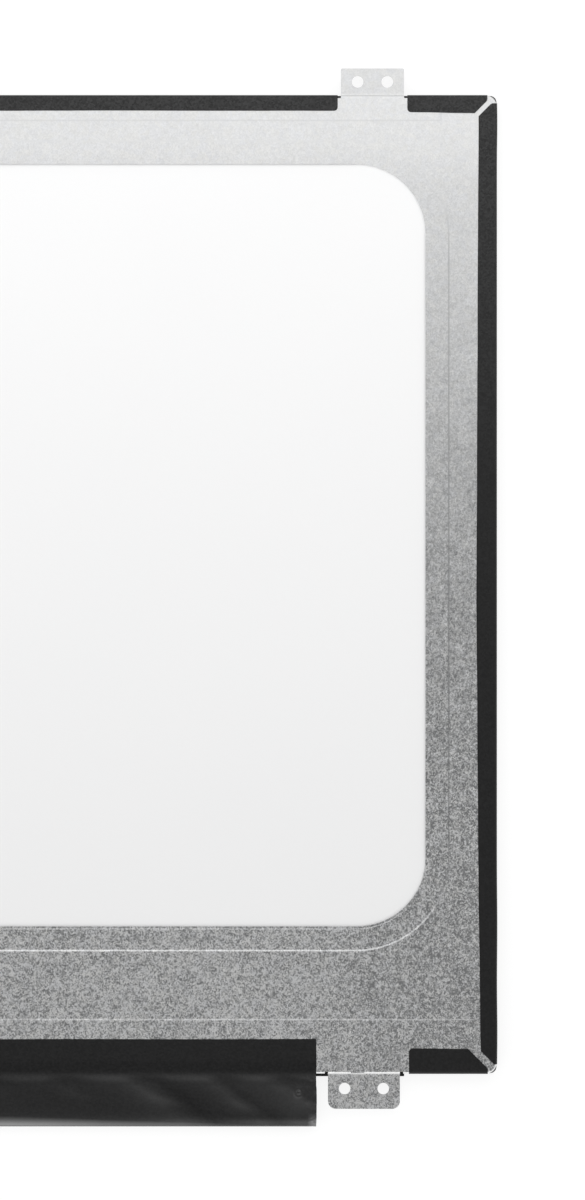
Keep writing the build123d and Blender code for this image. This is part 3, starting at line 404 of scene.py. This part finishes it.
# Driver films and chips: amber film circuits bonded from the glass ledge to the board,
# each with a long bare chip; fine copper tracks run along the films.
amber_film, place = start_finish("amber_film")
tracks = place.node(
    "ShaderNodeTexWave", {"bands_direction": "X"}, {"Vector": place, "Scale": 1.6, "Distortion": 0.0}
)
fill_shader(
    amber_film,
    {
        "Base Color": blend_colour(tracks, (0.3, 0.13, 0.03), (0.5, 0.26, 0.09)),
        "Roughness": 0.3 + (mottle(place, 0.5) - 0.5) * 0.2,
        "Normal": raised(tracks, 0.01),
    },
)
driver_numbers = range(1, 5)
give(amber_film, *[f"driver_film_{number}" for number in driver_numbers])
give(
    plain_finish("bare_silicon", (0.08, 0.08, 0.09), (0.11, 0.11, 0.12), 0.18, 0.1, 0.001, Metallic=0.4),
    *[f"driver_chip_{number}" for number in driver_numbers],
)

# Timing board: a narrow green circuit board below the panel's lower edge, with its chips,
# coils, fuse, diode and small ceramic parts soldered to the back.
green_board, place = start_finish("green_board")
paths = grains(place, 1.3, "Distance")
fill_shader(
    green_board,
    {
        "Base Color": blend_colour(paths, (0.02, 0.1, 0.045), (0.04, 0.17, 0.08)),
        "Roughness": 0.35 + (mottle(place, 0.6) - 0.5) * 0.15,
        "Normal": raised(paths, 0.02),
    },
)
give(green_board, "timing_board")
give(
    plain_finish("chip_moulding", (0.018, 0.018, 0.019), (0.032, 0.032, 0.033), 0.5, 0.08, 0.008),
    "timing_chip",
    "memory_chip",
    "power_chip",
    "backlight_chip",
    "rectifier_diode",
)
give(
    plain_finish("ferrite", (0.09, 0.09, 0.09), (0.15, 0.15, 0.15), 0.6, 0.1, 0.01),
    "power_coil",
    "backlight_coil",
)
give(plain_finish("tan_ceramic", (0.36, 0.25, 0.16), (0.48, 0.36, 0.25), 0.5, 0.1, 0.006), "capacitors")
give(
    plain_finish("dark_ceramic", (0.03, 0.03, 0.035), (0.06, 0.06, 0.065), 0.4, 0.1, 0.004),
    "resistors",
    "input_fuse",
)

# Video socket: an ivory moulding under a tinned sheet shell on the board's lower edge,
# with a row of gilt contacts on the floor of its mouth.
give(
    plain_finish("ivory_moulding", (0.68, 0.63, 0.52), (0.76, 0.71, 0.6), 0.4, 0.15, 0.006),
    "socket_body",
)
give(
    plain_finish("tinned_sheet", (0.62, 0.62, 0.6), (0.72, 0.72, 0.7), 0.28, 0.3, 0.003, Metallic=1.0),
    "socket_shell",
)
give(
    plain_finish("gilt", (0.76, 0.55, 0.2), (0.88, 0.68, 0.32), 0.22, 0.05, 0.001, Metallic=1.0),
    "socket_contacts",
)

# Board cover: a satin black film stuck to the plate, laid loosely over the board and rolled
# round its lower edge. It has soft slanting waves, a dimple near one end and a crumpled corner.
cover_film, place = start_finish("cover_film")
skin = mottle(place, 0.25, detail=3.0)
dust = grains(place, 2.6, "Distance")
fleck = dust.node("ShaderNodeValToRGB", {"stops": ((0.0, 1.0), (0.03, 0.0))}, {"Fac": dust})
# Its coat is laid on by place: a painted sheen in slanting streaks over the board, a painted highlight
# round its rolled edge and painted glints at the crumpled corner
along, height = apart(place, 0), apart(place, 1)
slant = (along + height * 1.33 + 70.0) / 60.0 + (mottle(place, 5.0) - 0.5) * 0.04
streak_stops = (
    (0.0, 0.4), (0.2, 0.35), (0.3, 0.5), (0.4, 1.0), (0.458, 0.6), (0.518, 0.0), (0.6, 0.4),
    (0.69, 1.0), (0.725, 0.7), (0.75, 0.35), (0.817, 0.85), (0.9, 1.0), (0.983, 0.3),
)
streaks = slant.node("ShaderNodeValToRGB", {"stops": streak_stops}, {"Fac": slant})
sheen = 0.035 * past(along, 70.0, 20.0) * past(height, -107.0, -1.0)
sheen = sheen * (1.0 - 0.9 * past(height, -109.5, -3.0))
painted_streak_pattern = 0.2 * streaks + (mottle(place, 14.0) - 0.5) * 0.06 + 0.08 * past(along, 130.0, 6.0)
painted_streak_sheen = bounded((-107.8 - height) * 0.35) * painted_streak_pattern
painted_streak_sheen = bounded(sheen + painted_streak_sheen * (1.0 - 0.35 * past(height, -114.0, -3.0)))
roll_begins = -117.05 - 0.75 * past(along, 74.0, 20.0) - past(along, 92.0, 34.0)
painted_roll_highlight = bounded((roll_begins - height) * 0.5) * (1.0 - 0.4 * past(along, 110.0, 30.0))
# Painted glints: the coat is weighted up at the crumpled corner
crumpled = 0.6 * past(along, 138.6, 1.25) * past(height, -116.4, -1.0)
# Painted sheen, highlight and glints, all laid on as coat weight
painted_sheen_coat = 0.035 * past(height, -105.6, 1.0) + painted_streak_sheen + painted_roll_highlight + crumpled
speckle = apart(grains(place, 0.36, "Color"), 0) * 0.8 + fleck * 0.2
fill_shader(
    cover_film,
    {
        "Base Color": blend_colour(speckle, (0.0042, 0.0042, 0.0044), (0.013, 0.013, 0.0133)),
        "Roughness": 0.36 + (skin - 0.5) * 0.08,
        "Specular IOR Level": 0.26,
        "Coat Weight": bounded(painted_sheen_coat),
        "Coat IOR": 2.4,
        "Coat Roughness": 0.3,
        "Normal": raised(skin, 0.004),
    },
)

def film_solid(name, grid, thickness, missing=()):
    """A closed thin film in millimetres, whose outer side is the grid of points."""
    grid = np.array(grid, float)
    across = np.cross(np.gradient(grid, axis=0), np.gradient(grid, axis=1))
    if across[0, 1, 2] < 0:
        grid, across = grid[::-1], -across[::-1]
    inner = grid - across / np.linalg.norm(across, axis=2, keepdims=True) * thickness
    rows, columns = grid.shape[:2]
    solid = np.ones((rows + 1, columns + 1), bool)
    solid[0] = solid[-1] = solid[:, 0] = solid[:, -1] = False
    for first_row, last_row, first_column, last_column in missing:
        solid[first_row + 1:last_row + 1, first_column + 1:last_column + 1] = False
    under = rows * columns
    faces = []
    for i, k in np.argwhere(solid):
        corners = [(i - 1) * columns + k - 1, i * columns + k - 1, i * columns + k, (i - 1) * columns + k]
        faces.append(corners)
        faces.append([c + under for c in reversed(corners)])
        beside = (solid[i, k - 1], solid[i + 1, k], solid[i, k + 1], solid[i - 1, k])
        for side in range(4):
            if not beside[side]:
                start, end = corners[side], corners[(side + 1) % 4]
                faces.append([end, start, start + under, end + under])
    points = np.concatenate([grid.reshape(-1, 3), inner.reshape(-1, 3)]) / 1000
    used = sorted({c for face in faces for c in face})
    number = {c: n for n, c in enumerate(used)}
    mesh = bpy.data.meshes.new(name)
    mesh.from_pydata([tuple(points[c]) for c in used], [], [[number[c] for c in face] for face in faces])
    mesh.polygons.foreach_set("use_smooth", [True] * len(mesh.polygons))
    mesh.set_sharp_from_angle(angle=radians(50))
    mesh.update()
    piece = bpy.data.objects.new(name, mesh)
    bpy.context.scene.collection.objects.link(piece)
    return piece


def wander(along, scale, seed):
    """A slow random drift, about -1 to 1, along a length in millimetres."""
    return noise.noise(Vector((along / scale, seed * 7.3, seed * 1.9)))


def bell(distance, width):
    """A smooth hump, 1 at its middle, that dies away over this width."""
    return exp(-((distance / width) ** 2))


film_t = 0.08
cover_low, cover_high = [corner * 1000 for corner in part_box("board_cover")]
cover_top_z = cover_high.z
shelf_z, pillow_z, edge_z, front_z = 2.86, 2.93, 1.6, cover_low.z
step_start, step_end = -107.2, -110.2
roll_start, roll_depth, roll_end = -116.0, cover_low.y, cover_low.y + 1.0
flap_end = -108.8
step_parts, shelf_parts, crown_parts, roll_parts, under_parts = 12, 20, 13, 18, 8

def between(first, last, share):
    """The value at a share of the way from the first to the last."""
    return first + share * (last - first)

cover_profile = []
for share in (0, 0.004, 0.03, 0.1, 0.25, 0.45, 0.65, 0.8, 0.9, 0.96, 1):
    cover_profile.append((between(cover_high.y, step_start, share), cover_top_z))
for part in range(1, step_parts):
    ease = (1 - cos(pi * part / step_parts)) / 2
    y = between(step_start, step_end, part / step_parts)
    cover_profile.append((y, between(cover_top_z, shelf_z, ease)))
for part in range(shelf_parts + 1):
    ease = (1 - cos(pi * min(1.0, part / crown_parts))) / 2
    y = between(step_end, roll_start, part / shelf_parts)
    cover_profile.append((y, between(shelf_z, pillow_z, ease)))
back_columns = len(cover_profile)
for part in range(1, roll_parts + 1):
    turn = pi / 2 * part / roll_parts
    y = between(roll_start, roll_depth, sin(turn))
    cover_profile.append((y, between(edge_z, pillow_z, cos(turn))))
for part in range(1, under_parts + 1):
    turn = pi / 2 * part / under_parts
    y = between(roll_end, roll_depth, cos(turn))
    cover_profile.append((y, between(edge_z, front_z, sin(turn))))
for share in (0.1, 0.3, 0.6, 0.9, 0.99, 1):
    cover_profile.append((between(roll_end, flap_end, share), front_z))

# The slanting waves, each from its top end to its lower end, with its height and width
waves = [
    (102.7, -108.8, 113.3, -118.2, 0.46, 2.5),
    (119.9, -107.8, 127.0, -117.0, 0.42, 2.5),
    (133.4, -109.0, 142.1, -115.3, 0.42, 2.1),
    (86.0, -109.0, 94.0, -118.0, 0.4, 2.9),
    (69.0, -109.5, 76.0, -117.0, 0.36, 2.8),
    (20.0, -109.0, 29.0, -118.0, 0.42, 2.6),
    (-8.0, -109.5, -1.0, -117.0, 0.36, 3.0),
    (-41.0, -109.0, -33.0, -118.0, 0.46, 2.5),
    (-80.0, -109.0, -88.0, -118.0, 0.42, 2.5),
    (-117.0, -109.0, -109.0, -118.0, 0.42, 2.6),
    (-133.0, -109.0, -139.5, -116.0, 0.4, 2.1),
]


def cover_lift(x, y):
    """How far the film stands off the board's parts, in millimetres."""
    lift = 0.03 * noise.noise(Vector((x / 14, y / 5, 3.1)))
    for x0, y0, x1, y1, height, width in waves:
        run = Vector((x1 - x0, y1 - y0))
        offset = Vector((x - x0, y - y0))
        share = offset.dot(run) / run.length_squared
        away = (offset.x * run.y - offset.y * run.x) / run.length
        if -0.4 < share < 1.4 and abs(away) < 4 * width:
            fade = max(0.0, min(1.0, 3 * min(share + 0.35, 1.35 - share)))
            lift += height * fade * bell(away, width)
    return lift


cover_x = cover_high.x
socket_low, socket_high = [corner * 1000 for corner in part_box("socket_shell")]
gap_left, gap_right = socket_low.x - 0.8, socket_high.x + 0.8
gap_top, gap_low_z = -112.85, 1.1
station_gap, fine_gap, edge_gap = 0.8, 0.2, 0.04
stations = sorted(
    {round(-cover_x + step * station_gap, 3) for step in range(int(2 * cover_x / station_gap) + 1)}
    | {-cover_x, -cover_x + edge_gap, cover_x - edge_gap, cover_x}
    | {gap_left, gap_left + edge_gap, gap_right - edge_gap, gap_right}
    | {round(cover_x - step * fine_gap, 3) for step in range(30)}
)
# How slack the roll is along the film, and where its dimple and its crumpled corner are
slack_x = (-140, -90, -30, 30, 78, 100, 125, 140)
slack_share = (0.7, 1.4, 0.9, 1.3, 1.8, 1.3, 0.75, 0.62)
loose_start, highest_z, stuck_columns = -107.8, 3.4, 9
dimple_x, dimple_y, crumple_y = 136.7, -111.97, -118.0
cover_grid = []
for x in stations:
    row = []
    near_end = bell(cover_x - abs(x), 2.2)
    slack = float(np.interp(x, slack_x, slack_share))
    roll_here = roll_depth + (roll_start - roll_depth) * slack
    for index, (y, z) in enumerate(cover_profile):
        on_back = index < back_columns
        if on_back and y < step_end:
            y = step_end + (y - step_end) * (roll_here - step_end) / (roll_start - step_end)
        elif not on_back and z >= edge_z:
            y = roll_depth + (y - roll_depth) * slack
        loose = max(0.0, min(1.0, (loose_start - y) / 3.0)) if on_back else 0.0
        loose = (1 - cos(pi * loose)) / 2 * (1 - cos(pi * max(0.0, min(1.0, (y - roll_here) / 4.0)))) / 2
        lift = cover_lift(x, y) * loose
        crease = 0.0
        if on_back and x > 0:
            crease = 0.16 * near_end * loose * noise.noise(Vector((x * 1.6, y * 1.6, 5.0)))
        dimple_away = sqrt((x - dimple_x) ** 2 + (y - dimple_y) ** 2)
        dimple = loose * (0.14 * bell(dimple_away - 0.75, 0.3) - 0.4 * bell(dimple_away, 0.45))
        crumple = 0.0
        if x > 0:
            folds = noise.noise(Vector((x * 1.7, y * 1.7, z * 1.7)))
            crumple = 0.22 * bell(cover_x - x, 1.5) * bell(y - crumple_y, 1.3) * folds
        sway = 0.12 * wander(x, 30, 2) * bell(y - cover_profile[0][0], 3)
        edge = 0.15 * wander(y, 4, 4) * bell(cover_x - abs(x), 0.5)
        row.append(
            (
                x + edge * (1 if x > 0 else -1),
                max(roll_depth, y + sway * (index < stuck_columns) + crumple),
                min(z + max(0.0, lift + crease) + dimple + crumple, highest_z),
            )
        )
    cover_grid.append(row)
gap_columns = [n for n, (y, z) in enumerate(cover_profile) if y < gap_top and z > gap_low_z]
cover = film_solid(
    "board_cover_film",
    cover_grid,
    film_t,
    missing=[(stations.index(gap_left), stations.index(gap_right), gap_columns[0], gap_columns[-1])],
)
cover.data.materials.append(cover_film)
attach(cover, "root")
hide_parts("board_cover")

# Edge tapes: matt black film strips laid by hand along each edge of the plate, folded down
# the wall and under on to the cell. Their ends are cut aslant to leave the corners bare.
black_tape, place = start_finish("black_tape")
weave = mottle(place, 0.18, detail=3.0)
scuff = mottle(place, 6.0, detail=4.0, roughness=0.65)
speck = apart(grains(place, 0.36, "Color"), 0)
# The tapes' colour is painted paler towards the panel's top edge, a painted light
painted_light_share = past(apart(place, 1), 20.0, 85.0)
painted_light_tone = blend_colour(painted_light_share, (0.0095, 0.0095, 0.0098), (0.034, 0.034, 0.0345))
fill_shader(
    black_tape,
    {
        "Base Color": blend_colour(speck * 0.7 + scuff * 0.3, (0.0003, 0.0003, 0.0004), painted_light_tone),
        "Roughness": 0.4 + (weave - 0.5) * 0.15,
        "Specular IOR Level": 0.36,
        "Normal": raised(weave, 0.012),
    },
)
give(black_tape, "ledge_tape", "rim_tape")


def edge_tape(name, node, lay, length, widths, front_width, cuts, corners, bulges, seed):
    """One tape, from its flap on the plate, round the edge, to its flap on the cell.

    lay turns a place along the edge, a distance in from it and a level into a point. cuts gives
    where each end's slant starts, or nothing for a square end, and corners each end's rounding."""
    low, high = [corner * 1000 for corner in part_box(node)]
    start, end = length
    back, front = high.z, low.z
    fold, turn_under = 0.58, 0.15
    profile = []
    for share in (1, 0.992, 0.97, 0.93, 0.88, 0.82, 0.7, 0.55, 0.4, 0.25, 0.12, 0):
        profile.append((share, 0.0, back))
    for step in range(1, 9):
        angle = pi / 2 * step / 8
        profile.append((0, fold - fold * sin(angle), back - fold + fold * cos(angle)))
    for step in range(1, 5):
        profile.append((0, 0.0, back - fold + (front + turn_under - back + fold) * step / 4))
    for step in range(1, 5):
        angle = pi / 2 * step / 4
        under_z = front + turn_under - turn_under * sin(angle)
        profile.append((0, turn_under - turn_under * cos(angle), under_z))
    for share in (0.2, 0.5, 0.8, 0.98, 1):
        profile.append((0, turn_under + share * (front_width - turn_under), front))
    count = max(12, int((end - start) / 1.4))
    shares = [0, 0.04 / (end - start), *[n / count for n in range(1, count)], 1 - 0.04 / (end - start), 1]
    grid = []
    for share in shares:
        row = []
        for flap_share, inward, z in profile:
            along = start + share * (end - start)
            width = float(np.interp(along, *zip(*widths))) + 0.05 * wander(along, 9, seed)
            inset = inward + flap_share * (width - fold) + (fold if flap_share else 0) * (z == back)
            if not flap_share and z == back and not inward:
                inset = fold
            ends = []
            for side in range(2):
                back_off = 0.0
                if cuts[side] is not None:
                    back_off = max(0.0, inset - cuts[side])
                elif corners[side] and flap_share:
                    beyond = max(0.0, inset - (width - corners[side]))
                    back_off = corners[side] - sqrt(max(0.0, corners[side] ** 2 - beyond**2))
                ends.append(back_off)
            along = start + ends[0] + share * (end - ends[1] - start - ends[0])
            bulge = sum(height * bell(along - middle, spread) for middle, spread, height in bulges)
            outward = bulge * (inset < fold) * (0.4 + 0.6 * (z - front) / (back - front))
            lift = 0.015 * (1 + wander(along + inset * 2, 5, seed + 1)) * (flap_share > 0)
            row.append(lay(along, inset - outward, z + lift))
        grid.append(row)
    tape = film_solid(name, grid, film_t)
    tape.data.materials.append(black_tape)
    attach(tape, "root")
    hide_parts(node)


tab_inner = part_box("top_centre_tape")[1].x * 1000
tab_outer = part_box("top_right_tape")[0].x * 1000
bottom_tape_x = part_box("bottom_right_tape")[0].x * 1000
side_low, side_high = [corner * 1000 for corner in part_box("right_side_tape")]
front_flap, lower_front_flap, end_r, slant_from = 3.3, 4.0, 0.8, 1.2
edge_tape(
    "top_centre_edge_tape", "top_centre_tape",
    lambda s, u, z: (s, body_top - u, z),
    (-tab_inner, tab_inner), [(-tab_inner, 3.5), (0, 3.6), (90, 3.4), (tab_inner, 3.45)],
    front_flap, (None, None), (end_r, end_r), [], 1,
)
side_widths = [(-107, 3.5), (-102.7, 3.58), (-70.2, 4.0), (-5.2, 4.47), (59.9, 4.2), (99.8, 4.0)]
side_bulges = [(98.0, 5.0, 0.1), (-76.0, 9.0, 0.1), (-99.0, 7.0, 0.12)]
for side, hand in ((1, "right"), (-1, "left")):
    edge_tape(
        f"top_{hand}_edge_tape", f"top_{hand}_tape",
        lambda s, u, z, side=side: (side * s, body_top - u, z),
        (tab_outer, body_x - 2.1), [(tab_outer, 3.75), (body_x, 3.95)],
        front_flap, (None, slant_from), (end_r, 0), [], 2 + side,
    )
    edge_tape(
        f"{hand}_side_edge_tape", f"{hand}_side_tape",
        lambda s, u, z, side=side: (side * (body_x - u), s, z),
        (side_low.y, side_high.y + 0.5), side_widths,
        front_flap, (0.65, slant_from), (0, 0), side_bulges, 5 + side,
    )
    edge_tape(
        f"bottom_{hand}_edge_tape", f"bottom_{hand}_tape",
        lambda s, u, z, side=side: (side * s, body_bottom + u, z),
        (bottom_tape_x, body_x - 2.0), [(bottom_tape_x, 5.55), (body_x, 5.45)],
        lower_front_flap, (None, slant_from), (end_r, 0), [], 8 + side,
    )

# Studio: a plain white floor under the panel, a wide soft lamp over the panel's upper end,
# a long low lamp beyond its lower end, and a sky that is bright at the horizon.
floor_mesh = bpy.data.meshes.new("floor")
floor_half, floor_z = 30.0, -0.0002
floor_corners = [(x * floor_half, y * floor_half, floor_z) for x, y in ((-1, -1), (1, -1), (1, 1), (-1, 1))]
floor_mesh.from_pydata(floor_corners, [], [(0, 1, 2, 3)])
floor = bpy.data.objects.new("floor", floor_mesh)
bpy.context.scene.collection.objects.link(floor)
pale_floor = bpy.data.materials.new("pale_floor")
pale_floor.use_nodes = True
tree = pale_floor.node_tree
rays = tree.nodes.new("ShaderNodeLightPath")
seen = Wire(rays.outputs["Is Camera Ray"])
for kind in ("Is Glossy Ray", "Is Transmission Ray"):
    seen = seen + Wire(rays.outputs[kind])
seen = bounded(seen)
# The floor is there from above only, so that the screen can be looked at from below
from_below = Wire(tree.nodes.new("ShaderNodeNewGeometry").outputs["Backfacing"])
fill_shader(
    pale_floor,
    {
        "Base Color": blend_colour(seen, (0.8, 0.8, 0.8), (0.24, 0.24, 0.24)),
        "Roughness": 0.9,
        "Specular IOR Level": 0.0,
        "Emission Color": blend_colour(seen, (0, 0, 0), (0.82, 0.82, 0.82)),
        "Emission Strength": 1.0,
        "Alpha": 1.0 - from_below,
    },
)
floor_mesh.materials.append(pale_floor)


def soft_lamp(name, place, aim, size, brightness):
    """An oblong lamp that gives this brightness all over its face."""
    light = bpy.data.lights.new(name, "AREA")
    light.shape = "RECTANGLE"
    light.size, light.size_y = size
    light.energy = brightness * pi * size[0] * size[1]
    lamp = bpy.data.objects.new(name, light)
    lamp.location = place
    lamp.rotation_euler = (Vector(aim) - Vector(place)).to_track_quat("-Z", "Y").to_euler()
    lamp.visible_camera = False
    bpy.context.scene.collection.objects.link(lamp)


soft_lamp("upper_lamp", (-0.05, 0.424, 0.344), (-0.05, 0.424, 0.0), (1.5, 0.717), 0.888)
soft_lamp("lower_lamp", (-0.42, -0.8, 0.54), (-0.42, 0.0, 0.0), (1.4, 0.6), 0.62)

sky = bpy.data.worlds.new("sky")
bpy.context.scene.world = sky
sky.use_nodes = True
direction = Wire(sky.node_tree.nodes.new("ShaderNodeTexCoord").outputs["Generated"])
overhead = apart(direction, 2) + apart(direction, 1) * 0.5
sky_stops = ((0.0, 1.0), (0.25, 1.0), (0.5, 0.828), (0.75, 0.506), (1.0, 0.4))
glow = overhead.node("ShaderNodeValToRGB", {"stops": sky_stops}, {"Fac": overhead})
# The camera itself sees a plain white sky
to_camera = Wire(sky.node_tree.nodes.new("ShaderNodeLightPath").outputs["Is Camera Ray"])
glow = blend_colour(to_camera, glow, (1, 1, 1))
backdrop = sky.node_tree.nodes["Background"]
sky.node_tree.links.new(glow.socket, backdrop.inputs["Color"])
backdrop.inputs["Strength"].default_value = 0.985

# Camera: straight above the right part of the panel and far off, with a long lens, so that
# the panel's levels hardly shift against each other.
view_height = 0.26023
lens = bpy.data.cameras.new("camera")
lens.lens = 200.0
lens.sensor_width = 36.0
lens.clip_start = 0.01
lens.clip_end = 200.0
camera = bpy.data.objects.new("camera", lens)
camera.location = (0.1354, -0.00516, 0.003 + view_height * lens.lens / lens.sensor_width)
bpy.context.scene.collection.objects.link(camera)
bpy.context.scene.camera = camera
bpy.context.scene.view_settings.view_transform = "Standard"
